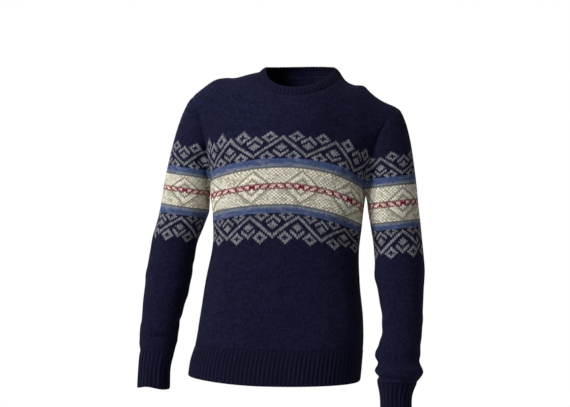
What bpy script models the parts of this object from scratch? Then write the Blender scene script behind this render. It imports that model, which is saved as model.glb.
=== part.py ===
"""Jacquard crew-neck sweater in the hollow form it has when worn.

Every knitted piece is one closed wall: front, back, two sleeves, neckband, two hem ribs and two
cuffs. The pieces follow one surface, worked out from the flat cut and a general figure, and stand
a small gap apart at each seam. The sweater faces -Y, +Z is up, and the origin is the middle of the
neck at the height of the shoulders. Left and right are the wearer's, so right is at -X.
"""
import math

import bmesh
import bpy
import numpy as np
from mathutils import Vector

MM = 0.001

# Cloth, in millimetres
WALL = 3.0
SEAM_GAP = 0.3
RIB_HEIGHT = 1.3
RIBS_HEM_HALF = 52
RIBS_CUFF = 24
RIBS_NECK_PER_SEGMENT = 3

# Flat cut of the body, in millimetres from the top of the hem rib and from the middle
UNDERARM = 365.0
HALF_WIDTH = 221.0
SHOULDER_TIP = (220.0, 580.0)
NECK_POINT = (85.0, 620.0)
NECK_DROP = {"front": 75.0, "back": 20.0}
HEM_RIB = 75.0

# Body rings from the hem up to the underarm
TORSO_COLUMNS = ("flat", "z", "centre", "half", "front", "back", "right_drop", "left_drop")
TORSO = (
    (-75, -659, -57, 187, 106, 102, -10, -2),
    (-40, -624, -53, 186, 107, 103, -6, 0),
    (0, -584, -46, 182, 107, 103, -2, 2),
    (60, -524, -41, 177, 105, 101, 0, 5),
    (140, -444, -38, 167, 102, 98, 0, 10),
    (220, -364, -31, 158, 102, 98, 0, 18),
    (290, -294, -28, 161, 108, 102, 8, 34),
    (340, -244, -27, 164, 113, 106, 15, 44),
    (365, -219, -26, 166, 114, 107, 17, 43),
)
RING_SQUARENESS = 2.4

# Where the armhole edge runs in the flat cut: share of its height, and distance from the middle
ARMHOLE_COLUMNS = ("share", "across")
ARMHOLE = ((0, 221), (0.03, 211), (0.1, 206), (0.3, 204), (0.5, 205), (0.7, 209), (0.88, 216), (1, 220))
ARMHOLE_ROWS = (0, 0.03, 0.1, 0.2, 0.31, 0.43, 0.55, 0.67, 0.78, 0.89, 1)

# Shoulder seam on each side, from the neck point out to the tip
SHOULDER_COLUMNS = ("across", "x", "y", "z")
SHOULDER = {
    "right": (
        (85, -90, 6, 4),
        (105, -114, 6, 0),
        (130, -143, 6, -5),
        (155, -168, 6, -7),
        (178, -191, 6, -12),
        (200, -219, 5, -32),
        (220, -240, 4, -50),
    ),
    "left": (
        (85, 88, 6, 0),
        (96, 97, 6, -13),
        (116, 115, 6, -25),
        (138, 136, 6, -30),
        (156, 153, 5, -41),
        (180, 174, 5, -56),
        (200, 192, 5, -65),
        (220, 211, 4, -73),
    ),
}

# Neckline, where the band is sewn on, and the band's free edge
NECK_BASE = {"half": 89.0, "middle_y": 6.0, "front": 86.0, "back": 66.0, "front_z": -51.0, "back_z": 5.0}
NECK_EDGE = {"half": 74.0, "middle_y": 4.0, "front": 74.0, "back": 60.0, "front_z": -32.0, "back_z": 22.0}
NECK_BASE_SIDE_Z = {"right": 4.0, "left": 0.0}
NECK_EDGE_SIDE_Z = {"right": 15.0, "left": 14.0}
NECK_ANGLES = (0, 18, 36, 54, 72, 90)
BAND_ROWS = (0, 0.5, 1)
BAND_ROLL = 1.5

# Slope of the cloth where it meets the neckline and the shoulder seam, in degrees above level
RISE = {
    "front": {"neck": 52.0, "point": 14.0, "tip": 24.0},
    "back": {"neck": 66.0, "point": 14.0, "tip": 24.0},
}
LOWER_PULL = 0.36
UPPER_PULL = 0.36
# How far the cloth leans over the arm and out at the sides where it leaves the underarm
ARM_LEAN = 0.30
ARM_LEAN_FROM = 0.5
SIDE_LEAN = 0.08
TOP_LEAN = 0.10
# How closely the neckline keeps to its loop before it meets the neck point
NECK_BLEND = 6

# Sleeve rings from the upper arm down to the seam of the cuff, then the cuff itself
ARM_COLUMNS = ("z", "x", "y", "half", "depth", "tilt")
SLEEVE = {
    "right": (
        (-290, -256, 4, 53.5, 54, 8),
        (-325, -267, 4, 51, 52, 8),
        (-356, -278, 4, 49.5, 50, 8),
        (-390, -284, 3, 49.5, 49, 7),
        (-425, -289, 1, 50, 48, 6),
        (-460, -295, -2, 48, 46, 6),
        (-495, -301, -6, 45.5, 44, 6),
        (-530, -305, -11, 43, 42, 5),
        (-560, -309, -17, 42, 41, 4),
        (-580, -310, -20, 41.5, 41, 4),
        (-598, -311, -23, 37.5, 37, 4),
    ),
    "left": (
        (-290, 201, 4, 54, 54, 6),
        (-325, 206, 4, 53, 52, 6),
        (-356, 210, 4, 52, 50, 5),
        (-390, 213, 3, 52.5, 49, 4),
        (-425, 215, 1, 53, 48, 3),
        (-460, 217, -1, 49, 46, 2),
        (-495, 219, -4, 45.5, 44, 1),
        (-530, 220, -8, 43, 42, 0),
        (-560, 220, -13, 42, 42, 0),
        (-580, 216, -16, 43.5, 43, 0),
        (-602, 213, -19, 47.5, 46, 0),
        (-619, 214, -22, 46, 45, 0),
        (-636, 217, -25, 49, 47, 0),
        (-652, 211, -27, 42.5, 42, 0),
    ),
}
CUFF = {
    "right": ((-598, -311, -23, 37.5, 37, 4), (-625, -315, -28, 35, 35, 3), (-678, -316, -37, 35, 34.5, 2)),
    "left": ((-652, 211, -27, 42.5, 42, 0), (-676, 209, -30, 35, 35, 0), (-731, 210, -38, 33, 33.5, 0)),
}

# Curve of the sleeve between the armhole and the upper arm: shares along it, and the pull of its ends
CAP_ROWS = (0.12, 0.3, 0.5, 0.7, 0.86)
CAP_LEAVE = 0.2
CAP_ARRIVE = 0.34
# Direction in which the sleeve leaves the armhole, at the shoulder tip and at the underarm
CAP_OUTWARD = {"tip": (0.66, -0.74), "under": (0.78, -0.64)}
CAP_ROUND = 0.1

# Grids of the flat rows below the underarm and of the columns between neck and armhole
BODY_ROWS = (0, 40, 85, 130, 175, 220, 260, 295, 330)
SHOULDER_SPLITS = 6
HEM_ROWS = (-HEM_RIB, -HEM_RIB / 2, 0)

# The largest folds of the body: place in the flat cut, size, height over the cloth, turn in degrees
FOLD_COLUMNS = ("across", "flat", "length", "width", "height", "turn")
FOLD_SIDE_FADE = 40.0
FOLD_HEM_FADE = 60.0
FOLDS = {
    "front": (
        (150, 345, 75, 22, 5, 38),
        (172, 262, 60, 24, -4, 30),
        (-158, 320, 70, 24, 4, -42),
        (-120, 60, 90, 30, 4, 80),
        (60, 40, 100, 34, -3, 95),
        (160, 70, 80, 26, 4, 100),
    ),
    "back": (
        (140, 330, 80, 26, 5, 35),
        (-140, 330, 80, 26, 5, -35),
        (60, 180, 110, 34, -4, 12),
        (-50, 120, 120, 36, 5, -8),
        (0, 60, 130, 34, -4, 5),
    ),
}

# Direction in which the edge faces of a wall pick their diagonal
EDGE_SWEEP = Vector((0.31, 0.57, 0.76))

NAVY = (0.017, 0.018, 0.045)
NAVY_RIB = (0.015, 0.016, 0.040)
ROUGHNESS = 0.92
SHARP_ANGLE = math.radians(50)


def along(table, columns, name, at):
    """Read one column of a table on a smooth curve through its rows."""
    rows = np.array(table, dtype=float)
    key = rows[:, 0]
    value = rows[:, columns.index(name)]
    if key[0] > key[-1]:
        key = key[::-1]
        value = value[::-1]
    slope = np.gradient(value, key)
    at = float(np.clip(at, key[0], key[-1]))
    i = int(np.clip(np.searchsorted(key, at) - 1, 0, len(key) - 2))
    width = key[i + 1] - key[i]
    t = (at - key[i]) / width
    return ((1 + 2 * t) * (1 - t) ** 2 * value[i] + t * (1 - t) ** 2 * width * slope[i]
            + t * t * (3 - 2 * t) * value[i + 1] + t * t * (t - 1) * width * slope[i + 1])


def unit(vector):
    """Scale a vector to length one."""
    vector = np.array(vector, dtype=float)
    return vector / np.linalg.norm(vector)


def ease(t):
    """Smooth step from 0 to 1."""
    t = min(max(t, 0.0), 1.0)
    return t * t * (3 - 2 * t)


def bezier(start, first, second, end, share):
    """Point on a cubic curve between two ends with two handles."""
    back = 1 - share
    return (back ** 3 * start + 3 * back ** 2 * share * first
            + 3 * back * share ** 2 * second + share ** 3 * end)


def side_of(across):
    """Name the wearer's side of a place in the flat cut."""
    return "left" if across >= 0 else "right"


def ring_table(half, depth, steps=240):
    """Points of a quarter of a squared ellipse, from the middle to the side, and their path length."""
    angle = np.linspace(0, math.pi / 2, steps)
    x = half * np.sin(angle) ** (2 / RING_SQUARENESS)
    y = depth * np.cos(angle) ** (2 / RING_SQUARENESS)
    path = np.concatenate(([0], np.cumsum(np.hypot(np.diff(x), np.diff(y)))))
    return x, y, path / path[-1]


def body_ring(panel, share, flat):
    """Place of the body below the underarm: share runs from -1 at the right seam to 1 at the left."""
    half = along(TORSO, TORSO_COLUMNS, "half", flat)
    depth = along(TORSO, TORSO_COLUMNS, panel, flat)
    x, y, path = ring_table(half, depth)
    across = np.interp(abs(share), path, x) * (1 if share >= 0 else -1)
    deep = np.interp(abs(share), path, y) * (-1 if panel == "front" else 1)
    drop = along(TORSO, TORSO_COLUMNS, side_of(share) + "_drop", flat)
    z = along(TORSO, TORSO_COLUMNS, "z", flat) - drop * ease(abs(share))
    return np.array((along(TORSO, TORSO_COLUMNS, "centre", flat) + across, deep, z))


def neck_loop(loop, side_z, panel, angle):
    """Place on a loop round the neck; angle is 0 in the middle of the panel and 90 at the shoulder."""
    turn = math.radians(angle)
    side = side_z[side_of(angle)]
    away = abs(math.cos(turn))
    y = loop["middle_y"] + loop[panel] * away * (-1 if panel == "front" else 1)
    z = side + (loop[panel + "_z"] - side) * away
    return np.array((loop["half"] * math.sin(turn), y, z))


def neck_angle(across):
    """Angle round the neck of a place across the flat neckline."""
    return math.degrees(math.asin(np.clip(across / NECK_POINT[0], -1, 1)))


def top_edge(panel, across):
    """Place on the neckline or the shoulder seam above a place across the flat cut."""
    if abs(across) < NECK_POINT[0]:
        point = neck_loop(NECK_BASE, NECK_BASE_SIDE_Z, panel, neck_angle(across))
        end = top_edge(panel, math.copysign(NECK_POINT[0], across if across else 1))
        return point + (end - NECK_END[side_of(across)]) * abs(across / NECK_POINT[0]) ** NECK_BLEND
    rows = SHOULDER[side_of(across)]
    return np.array([along(rows, SHOULDER_COLUMNS, name, abs(across)) for name in ("x", "y", "z")])


NECK_END = {
    "right": neck_loop(NECK_BASE, NECK_BASE_SIDE_Z, "front", -90),
    "left": neck_loop(NECK_BASE, NECK_BASE_SIDE_Z, "front", 90),
}


def rise_angle(panel, across):
    """Slope of the cloth at its top edge, in degrees above level."""
    rise = RISE[panel]
    if abs(across) < NECK_POINT[0]:
        return rise["point"] + (rise["neck"] - rise["point"]) * math.cos(math.radians(neck_angle(across)))
    out = (abs(across) - NECK_POINT[0]) / (SHOULDER_TIP[0] - NECK_POINT[0])
    return rise["point"] + (rise["tip"] - rise["point"]) * ease(out)


def upper_body(panel, across, share):
    """Place above the underarm: share runs from 0 at the underarm to 1 at the top edge."""
    forward = -1 if panel == "front" else 1
    start = body_ring(panel, across / HALF_WIDTH, UNDERARM)
    end = top_edge(panel, across)
    edge = ease((abs(across) / HALF_WIDTH - ARM_LEAN_FROM) / (1 - ARM_LEAN_FROM))
    leave = unit((SIDE_LEAN * across / HALF_WIDTH, forward * ARM_LEAN * edge, 1))
    rise = math.radians(rise_angle(panel, across))
    arrive = unit((TOP_LEAN * across / HALF_WIDTH, -forward * math.cos(rise), math.sin(rise)))
    reach = np.linalg.norm(end - start)
    first = start + leave * reach * LOWER_PULL
    second = end - arrive * reach * UPPER_PULL
    return bezier(start, first, second, end, share)


def top_flat(panel, across):
    """Height in the flat cut of the neckline or the shoulder seam."""
    if abs(across) < NECK_POINT[0]:
        bow = 1 - math.cos(math.radians(neck_angle(across)))
        return NECK_POINT[1] - NECK_DROP[panel] * (1 - bow)
    out = (abs(across) - NECK_POINT[0]) / (SHOULDER_TIP[0] - NECK_POINT[0])
    return NECK_POINT[1] + (SHOULDER_TIP[1] - NECK_POINT[1]) * out


def fold_height(panel, across, flat):
    """Height of the folds over the cloth, in millimetres, fading out at the seams."""
    total = 0.0
    for row in FOLDS[panel]:
        fold = dict(zip(FOLD_COLUMNS, row))
        turn = math.radians(fold["turn"])
        dx = across - fold["across"]
        dy = flat - fold["flat"]
        u = (dx * math.cos(turn) + dy * math.sin(turn)) / fold["length"]
        v = (-dx * math.sin(turn) + dy * math.cos(turn)) / fold["width"]
        total += fold["height"] * math.exp(-u * u - v * v)
    return total * ease((HALF_WIDTH - abs(across)) / FOLD_SIDE_FADE) * ease(flat / FOLD_HEM_FADE)


def panel_shares():
    """Shares of the half width where the columns of a panel run, from -1 to 1."""
    neck = [math.sin(math.radians(angle)) * NECK_POINT[0] / SHOULDER_TIP[0] for angle in NECK_ANGLES]
    half = neck + list(np.linspace(neck[-1], 1, SHOULDER_SPLITS + 1)[1:])
    return [-share for share in reversed(half[1:])] + half


def panel_grid(panel):
    """Outer points of the front or the back, row by row from the hem rib to the top edge."""
    shares = panel_shares()
    rows = []
    for flat in BODY_ROWS:
        rows.append([body_ring(panel, share, flat) for share in shares])
    for height in ARMHOLE_ROWS:
        reach = along(ARMHOLE, ARMHOLE_COLUMNS, "across", height)
        rows.append([upper_body(panel, share * reach, height) for share in shares])
    return np.array(rows)


def panel_folds(panel, grid, normals):
    """Move the points of a panel along their normals to form the folds."""
    shares = panel_shares()
    heights = list(BODY_ROWS) + [None] * len(ARMHOLE_ROWS)
    for i, flat in enumerate(heights):
        for j, share in enumerate(shares):
            across = share * HALF_WIDTH
            if flat is None:
                step = ARMHOLE_ROWS[i - len(BODY_ROWS)]
                here = UNDERARM + step * (top_flat(panel, across) - UNDERARM)
            else:
                here = flat
            grid[i, j] += normals[i, j] * fold_height(panel, across, here)
    return grid


def hem_grid(panel):
    """Outer points of one half of the hem rib, two columns to a rib."""
    shares = np.linspace(-1, 1, 2 * RIBS_HEM_HALF + 1)
    return np.array([[body_ring(panel, share, flat) for share in shares] for flat in HEM_ROWS])


def arm_frame(table, z):
    """Centre, outward and forward directions and axis of a sleeve ring at a height."""
    centre = np.array((along(table, ARM_COLUMNS, "x", z), along(table, ARM_COLUMNS, "y", z), z))
    side = 1 if centre[0] > 0 else -1
    tilt = math.radians(along(table, ARM_COLUMNS, "tilt", z))
    outward = np.array((side * math.cos(tilt), 0, math.sin(tilt)))
    axis = np.array((-side * math.sin(tilt), 0, math.cos(tilt)))
    return centre, outward, axis


def arm_ring(table, z, angles):
    """Ring of a sleeve; angle 0 is the outer side, a quarter turn the front, half a turn the body side."""
    centre, outward, _ = arm_frame(table, z)
    half = along(table, ARM_COLUMNS, "half", z)
    depth = along(table, ARM_COLUMNS, "depth", z)
    front = np.array((0, -1, 0))
    return np.array([centre + half * math.cos(a) * outward + depth * math.sin(a) * front for a in angles])


def armhole_loop(side):
    """Seam round the armhole, from the shoulder tip down the front to the underarm and up the back."""
    sign = 1 if side == "left" else -1
    reach = [along(ARMHOLE, ARMHOLE_COLUMNS, "across", share) for share in ARMHOLE_ROWS]
    front = [upper_body("front", sign * x, share) for x, share in zip(reach, ARMHOLE_ROWS)]
    back = [upper_body("back", sign * x, share) for x, share in zip(reach, ARMHOLE_ROWS)]
    return np.array(front[::-1] + back[1:-1])


def loop_angles(loop):
    """Angle round the arm of each point of the armhole, even in path length on each half."""
    half = len(loop) // 2
    closed = np.vstack((loop, loop[:1]))
    step = np.linalg.norm(np.diff(closed, axis=0), axis=1)
    down = np.concatenate(([0], np.cumsum(step[:half])))
    up = np.concatenate(([0], np.cumsum(step[half:])))
    return np.concatenate((down / down[-1] * math.pi, math.pi + up[1:-1] / up[-1] * math.pi))


def sleeve_grid(side):
    """Outer points of a sleeve, from the armhole down to the seam of the cuff."""
    sign = 1 if side == "left" else -1
    table = SLEEVE[side]
    loop = armhole_loop(side)
    angles = loop_angles(loop)
    top = table[0][0]
    ring = arm_ring(table, top, angles)
    _, _, axis = arm_frame(table, top)
    rows = [loop]
    for share in CAP_ROWS:
        row = []
        for start, end, angle in zip(loop, ring, angles):
            under = 0.5 - 0.5 * math.cos(angle)
            out = np.array(CAP_OUTWARD["tip"]) * (1 - under) + np.array(CAP_OUTWARD["under"]) * under
            leave = unit((sign * out[0], -CAP_ROUND * math.sin(angle), out[1]))
            reach = np.linalg.norm(end - start)
            first = start + leave * reach * CAP_LEAVE
            second = end + axis * reach * CAP_ARRIVE
            row.append(bezier(start, first, second, end, share))
        rows.append(row)
    rows.append(ring)
    for row in table[1:]:
        rows.append(arm_ring(table, row[0], angles))
    return np.array(rows)


def cuff_grid(side):
    """Outer points of a cuff, two columns to a rib."""
    table = CUFF[side]
    angles = np.linspace(0, 2 * math.pi, 2 * RIBS_CUFF, endpoint=False)
    return np.array([arm_ring(table, row[0], angles) for row in table])


def band_grid(seam):
    """Outer points of the neckband: it follows the neckline seam, then rounds off towards its edge."""
    steps = 2 * RIBS_NECK_PER_SEGMENT
    base = []
    edge = []
    count = len(seam)
    for k in range(count):
        for n in range(steps):
            base.append(seam[k] + (seam[(k + 1) % count] - seam[k]) * n / steps)
            angle = (k + n / steps) * 360 / count - 90
            panel = "front" if angle <= 90 else "back"
            local = angle if panel == "front" else 180 - angle
            edge.append(neck_loop(NECK_EDGE, NECK_EDGE_SIDE_Z, panel, local))
    base = np.array(base)
    edge = np.array(edge)
    middle = edge.mean(axis=0)
    rows = []
    for share in BAND_ROWS:
        row = base + (edge - base) * share
        away = row - middle
        away[:, 2] = 0
        away /= np.linalg.norm(away, axis=1)[:, None]
        rows.append(row + away * BAND_ROLL * math.sin(math.pi * share))
    return np.array(rows)


def grid_normals(grid, tube):
    """Sum of the unit normals of the faces round each point, before they are shared at seams."""
    rows, count, _ = grid.shape
    total = np.zeros_like(grid)
    last = count if tube else count - 1
    for i in range(rows - 1):
        for j in range(last):
            k = (j + 1) % count
            a, b, c, d = grid[i, j], grid[i, k], grid[i + 1, k], grid[i + 1, j]
            face = unit(np.cross(c - a, d - b))
            for place in ((i, j), (i, k), (i + 1, k), (i + 1, j)):
                total[place] += face
    return total


def place_key(point):
    """Name a place in space to a thousandth of a millimetre, so that shared points are found."""
    return tuple(np.round(point, 3))


def share_normals(grids, tubes):
    """Give points that pieces have in common one normal, so that the walls meet along one face.

    Front, back and hem ribs together count as one side of a seam, and a tube sewn to them as the other.
    """
    sides = {}
    own = {name: grid_normals(grid, name in tubes) for name, grid in grids.items()}
    for name, grid in grids.items():
        for place in np.ndindex(grid.shape[:2]):
            side = sides.setdefault(place_key(grid[place]), {})
            side[name in tubes] = side.get(name in tubes, 0) + unit(own[name][place])
    shared = {}
    for name, grid in grids.items():
        shared[name] = np.zeros_like(grid)
        for place in np.ndindex(grid.shape[:2]):
            side = sides[place_key(grid[place])]
            shared[name][place] = unit(sum(unit(total) for total in side.values()))
    return shared


def level_row(normals, row, axis):
    """Turn the normals of a row into the plane of its seam."""
    for j in range(normals.shape[1]):
        flat = normals[row, j] - axis * np.dot(normals[row, j], axis)
        normals[row, j] = unit(flat)


def seam_steps(grid, normals, runs, tube):
    """Distances by which the points of the seams move into their piece, half a gap each."""
    steps = np.zeros_like(grid)
    rows, count, _ = grid.shape
    for run, inward, closed in runs:
        points = np.array([grid[place] for place in run])
        for n, place in enumerate(run):
            if closed:
                after = points[(n + 1) % len(run)]
                before = points[n - 1]
            else:
                after = points[min(n + 1, len(run) - 1)]
                before = points[max(n - 1, 0)]
            across = unit(np.cross(after - before, normals[place]))
            i = min(max(place[0] + inward[0], 0), rows - 1)
            j = (place[1] + inward[1]) % count if tube else min(max(place[1] + inward[1], 0), count - 1)
            if np.dot(across, grid[i, j] - grid[place]) < 0:
                across = -across
            steps[place] += across * SEAM_GAP / 2
    return steps


def panel_runs(grid):
    """Seams of a panel: hem, sides, armholes, shoulders and neckline."""
    rows, count, _ = grid.shape
    under = len(BODY_ROWS)
    neck_first = SHOULDER_SPLITS
    neck_last = count - 1 - SHOULDER_SPLITS
    top = rows - 1
    return (
        ([(0, j) for j in range(count)], (1, 0), False),
        ([(i, 0) for i in range(under + 1)], (0, 1), False),
        ([(i, 0) for i in range(under, rows)], (0, 1), False),
        ([(i, count - 1) for i in range(under + 1)], (0, -1), False),
        ([(i, count - 1) for i in range(under, rows)], (0, -1), False),
        ([(top, j) for j in range(neck_first + 1)], (-1, 0), False),
        ([(top, j) for j in range(neck_first, neck_last + 1)], (-1, 0), False),
        ([(top, j) for j in range(neck_last, count)], (-1, 0), False),
    )


def hem_runs(grid):
    """Seams of a hem rib: its top edge and its two sides."""
    rows, count, _ = grid.shape
    return (
        ([(rows - 1, j) for j in range(count)], (-1, 0), False),
        ([(i, 0) for i in range(rows)], (0, 1), False),
        ([(i, count - 1) for i in range(rows)], (0, -1), False),
    )


def ring_run(grid, row, inward):
    """Seam all round one end of a tube."""
    return ([(row, j) for j in range(grid.shape[1])], (inward, 0), True)


def rib_relief(grid):
    """Height of the ribs at each point: every second column stands proud."""
    relief = np.zeros(grid.shape[:2])
    relief[:, ::2] = RIB_HEIGHT
    return relief


def edge_wall(shape, near, far):
    """Close the edge of a wall between two pairs of outer and inner points.

    Both pieces at a seam split their edge faces along the same diagonal, so the faces stay parallel.
    """
    sweep = near[0].co.dot(EDGE_SWEEP) < far[0].co.dot(EDGE_SWEEP)
    if sweep:
        shape.faces.new((near[0], far[0], far[1]))
        shape.faces.new((near[0], far[1], near[1]))
    else:
        shape.faces.new((near[0], far[0], near[1]))
        shape.faces.new((far[0], far[1], near[1]))


def wall_object(name, grid, normals, steps, relief, tube, colour):
    """Make one closed wall from its outer points, and its inside from the same points moved in."""
    rows, count, _ = grid.shape
    outer = grid + steps + normals * relief[:, :, None]
    inner = grid + steps - normals * WALL
    shape = bmesh.new()
    skin = [[shape.verts.new(outer[i, j] * MM) for j in range(count)] for i in range(rows)]
    lining = [[shape.verts.new(inner[i, j] * MM) for j in range(count)] for i in range(rows)]
    last = count if tube else count - 1
    for i in range(rows - 1):
        for j in range(last):
            k = (j + 1) % count
            shape.faces.new((skin[i][j], skin[i][k], skin[i + 1][k], skin[i + 1][j]))
            shape.faces.new((lining[i][j], lining[i + 1][j], lining[i + 1][k], lining[i][k]))
    for j in range(last):
        k = (j + 1) % count
        edge_wall(shape, (skin[0][k], lining[0][k]), (skin[0][j], lining[0][j]))
        edge_wall(shape, (skin[-1][j], lining[-1][j]), (skin[-1][k], lining[-1][k]))
    if not tube:
        for i in range(rows - 1):
            edge_wall(shape, (skin[i][0], lining[i][0]), (skin[i + 1][0], lining[i + 1][0]))
            edge_wall(shape, (skin[i + 1][-1], lining[i + 1][-1]), (skin[i][-1], lining[i][-1]))
    mesh = bpy.data.meshes.new(name)
    shape.to_mesh(mesh)
    shape.free()
    mesh.shade_smooth()
    mesh.set_sharp_from_angle(angle=SHARP_ANGLE)
    piece = bpy.data.objects.new(name, mesh)
    piece.data.materials.append(knit_material(name, colour))
    bpy.context.scene.collection.objects.link(piece)
    return piece


def knit_material(name, colour):
    """Plain matt wool in one colour."""
    material = bpy.data.materials.new(name + "_wool")
    material.use_nodes = True
    shader = material.node_tree.nodes["Principled BSDF"]
    shader.inputs["Base Color"].default_value = (*colour, 1)
    shader.inputs["Roughness"].default_value = ROUGHNESS
    shader.inputs["Metallic"].default_value = 0
    return material


def main():
    """Build the nine pieces of the sweater."""
    for item in list(bpy.data.objects):
        bpy.data.objects.remove(item, do_unlink=True)

    grids = {"front_panel": panel_grid("front"), "back_panel": panel_grid("back")[:, ::-1]}
    grids["hem_rib_front"] = hem_grid("front")
    grids["hem_rib_back"] = hem_grid("back")[:, ::-1]
    for side in ("right", "left"):
        step = 1 if side == "right" else -1
        grids["sleeve_" + side] = sleeve_grid(side)[::-1, ::step]
        grids["cuff_" + side] = cuff_grid(side)[::-1, ::step]
    neck = slice(SHOULDER_SPLITS, -SHOULDER_SPLITS)
    front_edge = grids["front_panel"][-1][neck]
    back_edge = grids["back_panel"][-1][neck]
    grids["neckband"] = band_grid(np.vstack((front_edge, back_edge[1:-1])))
    tubes = {"sleeve_right", "sleeve_left", "cuff_right", "cuff_left", "neckband"}
    ribbed = {"hem_rib_front", "hem_rib_back", "cuff_right", "cuff_left", "neckband"}

    normals = share_normals(grids, tubes)
    for name, panel in (("front_panel", "front"), ("back_panel", "back")):
        turn = 1 if panel == "front" else -1
        folded = panel_folds(panel, grids[name][:, ::turn].copy(), normals[name][:, ::turn])
        grids[name] = folded[:, ::turn]
    normals = share_normals(grids, tubes)

    up = np.array((0.0, 0.0, 1.0))
    for name in ("front_panel", "back_panel"):
        level_row(normals[name], 0, up)
    for name in ("hem_rib_front", "hem_rib_back"):
        level_row(normals[name], -1, up)
    for side in ("right", "left"):
        _, _, axis = arm_frame(SLEEVE[side], SLEEVE[side][-1][0])
        level_row(normals["sleeve_" + side], 0, axis)
        level_row(normals["cuff_" + side], -1, axis)

    runs = {name: panel_runs(grids[name]) for name in ("front_panel", "back_panel")}
    for name in ("hem_rib_front", "hem_rib_back"):
        runs[name] = hem_runs(grids[name])
    for side in ("right", "left"):
        sleeve = grids["sleeve_" + side]
        runs["sleeve_" + side] = (ring_run(sleeve, 0, 1), ring_run(sleeve, len(sleeve) - 1, -1))
        cuff = grids["cuff_" + side]
        runs["cuff_" + side] = (ring_run(cuff, len(cuff) - 1, -1),)
    runs["neckband"] = (ring_run(grids["neckband"], 0, 1),)

    for name, grid in grids.items():
        tube = name in tubes
        steps = seam_steps(grid, normals[name], runs[name], tube)
        relief = rib_relief(grid) if name in ribbed else np.zeros(grid.shape[:2])
        colour = NAVY_RIB if name in ribbed else NAVY
        wall_object(name, grid, normals[name], steps, relief, tube, colour)


main()
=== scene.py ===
# %% [markdown]
# # A jacquard crew-neck sweater, in the hollow form it has when worn
#
# The real sweater is knitted in nine pieces: front, back, two sleeves, a neckband, two halves of
# the hem rib and two cuffs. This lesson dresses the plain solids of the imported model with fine
# cloth: every piece is knitted flat as a slab of stitches, then laid on the worn form.

# %% Load the solids and keep their box
import math

import bmesh
import bpy
import numpy as np
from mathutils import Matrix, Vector


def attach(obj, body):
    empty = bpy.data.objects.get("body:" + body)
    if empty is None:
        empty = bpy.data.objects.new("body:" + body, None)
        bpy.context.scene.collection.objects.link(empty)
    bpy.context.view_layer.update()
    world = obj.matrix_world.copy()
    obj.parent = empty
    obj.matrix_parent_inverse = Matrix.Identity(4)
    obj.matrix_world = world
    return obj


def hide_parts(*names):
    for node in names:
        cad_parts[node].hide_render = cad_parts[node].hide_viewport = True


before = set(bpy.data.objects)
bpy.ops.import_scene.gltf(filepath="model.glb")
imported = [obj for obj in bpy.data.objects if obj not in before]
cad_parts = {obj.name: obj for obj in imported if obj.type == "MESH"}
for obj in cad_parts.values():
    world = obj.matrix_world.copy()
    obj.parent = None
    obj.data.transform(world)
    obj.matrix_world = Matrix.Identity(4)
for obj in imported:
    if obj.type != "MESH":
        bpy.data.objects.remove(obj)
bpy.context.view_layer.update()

print("nodes", sorted(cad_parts))


def add(name, data):
    """Put a new object in the scene."""
    thing = bpy.data.objects.new(name, data)
    bpy.context.scene.collection.objects.link(thing)
    return thing


def add_shape(name, shape):
    """Put a finished shape in the scene as a mesh."""
    mesh = bpy.data.meshes.new(name)
    shape.to_mesh(mesh)
    shape.free()
    return add(name, mesh)


# %% [markdown]
# ## The view
#
# The photograph looks at the front from chest height, turned nine degrees towards the wearer's
# left side. A long lens keeps the sleeves and body in proportion. The camera comes first, because
# every later piece is judged through it.

# %% Camera
MM = 0.001
VIEW_TURN = math.radians(9)
VIEW_DISTANCE = 2600 * MM
VIEW_ASIDE = -32.4 * MM
VIEW_HEIGHT = -277.6 * MM
VIEW_WIDTH = 1231.2 * MM
SENSOR = 36.0

camera_data = bpy.data.cameras.new("camera")
camera_data.sensor_width = SENSOR
camera_data.lens = SENSOR * VIEW_DISTANCE / VIEW_WIDTH
camera = add("camera", camera_data)
camera.location = (
    VIEW_ASIDE * math.cos(VIEW_TURN) + VIEW_DISTANCE * math.sin(VIEW_TURN),
    VIEW_ASIDE * math.sin(VIEW_TURN) - VIEW_DISTANCE * math.cos(VIEW_TURN),
    VIEW_HEIGHT,
)
camera.rotation_euler = (math.pi / 2, 0, VIEW_TURN)
bpy.context.scene.camera = camera
print("lens", round(camera_data.lens, 1))

# %% [markdown]
# ## Reading a table on a smooth curve
#
# The form is given by short tables: a row for each ring of the body or arm. Between two rows a
# smooth curve is better than a straight line, because cloth has no corners. The slope at each row
# comes from its neighbours, so the curve passes through every row without wobbling.

# %% Curves
def columns(names, rows):
    """Name the columns of a table; its rows are found by the first one."""
    return dict(zip(names, np.array(rows, dtype=float).T))


def between_rows(keys, at):
    """Row below each place, width of the step to the next one, and share of the way there."""
    at = np.clip(np.asarray(at, dtype=float), keys[0], keys[-1])
    i = np.clip(np.searchsorted(keys, at) - 1, 0, len(keys) - 2)
    width = keys[i + 1] - keys[i]
    return i, width, (at - keys[i]) / width


def curve(width, t, low, low_slope, high, high_slope):
    """Smooth curve between two values with their slopes, at a share of the way."""
    return ((1 + 2 * t) * (1 - t) ** 2 * low + t * (1 - t) ** 2 * width * low_slope
            + t * t * (3 - 2 * t) * high + t * t * (t - 1) * width * high_slope)


def along(table, name, at):
    """Read one column of a table on a smooth curve through its rows."""
    key = next(iter(table.values()))
    value = table[name]
    if key[0] > key[-1]:
        key = key[::-1]
        value = value[::-1]
    slope = np.gradient(value, key)
    i, width, t = between_rows(key, at)
    return curve(width, t, value[i], slope[i], value[i + 1], slope[i + 1])


def ease(t):
    """Smooth step from 0 to 1."""
    t = np.clip(t, 0.0, 1.0)
    return t * t * (3 - 2 * t)


def unit(vectors):
    """Scale vectors to length one."""
    vectors = np.asarray(vectors, dtype=float)
    return vectors / np.linalg.norm(vectors, axis=-1, keepdims=True)


def stack(*values):
    """Put coordinates or numbers side by side at each point."""
    return np.stack(np.broadcast_arrays(*values), axis=-1).astype(float)


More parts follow.
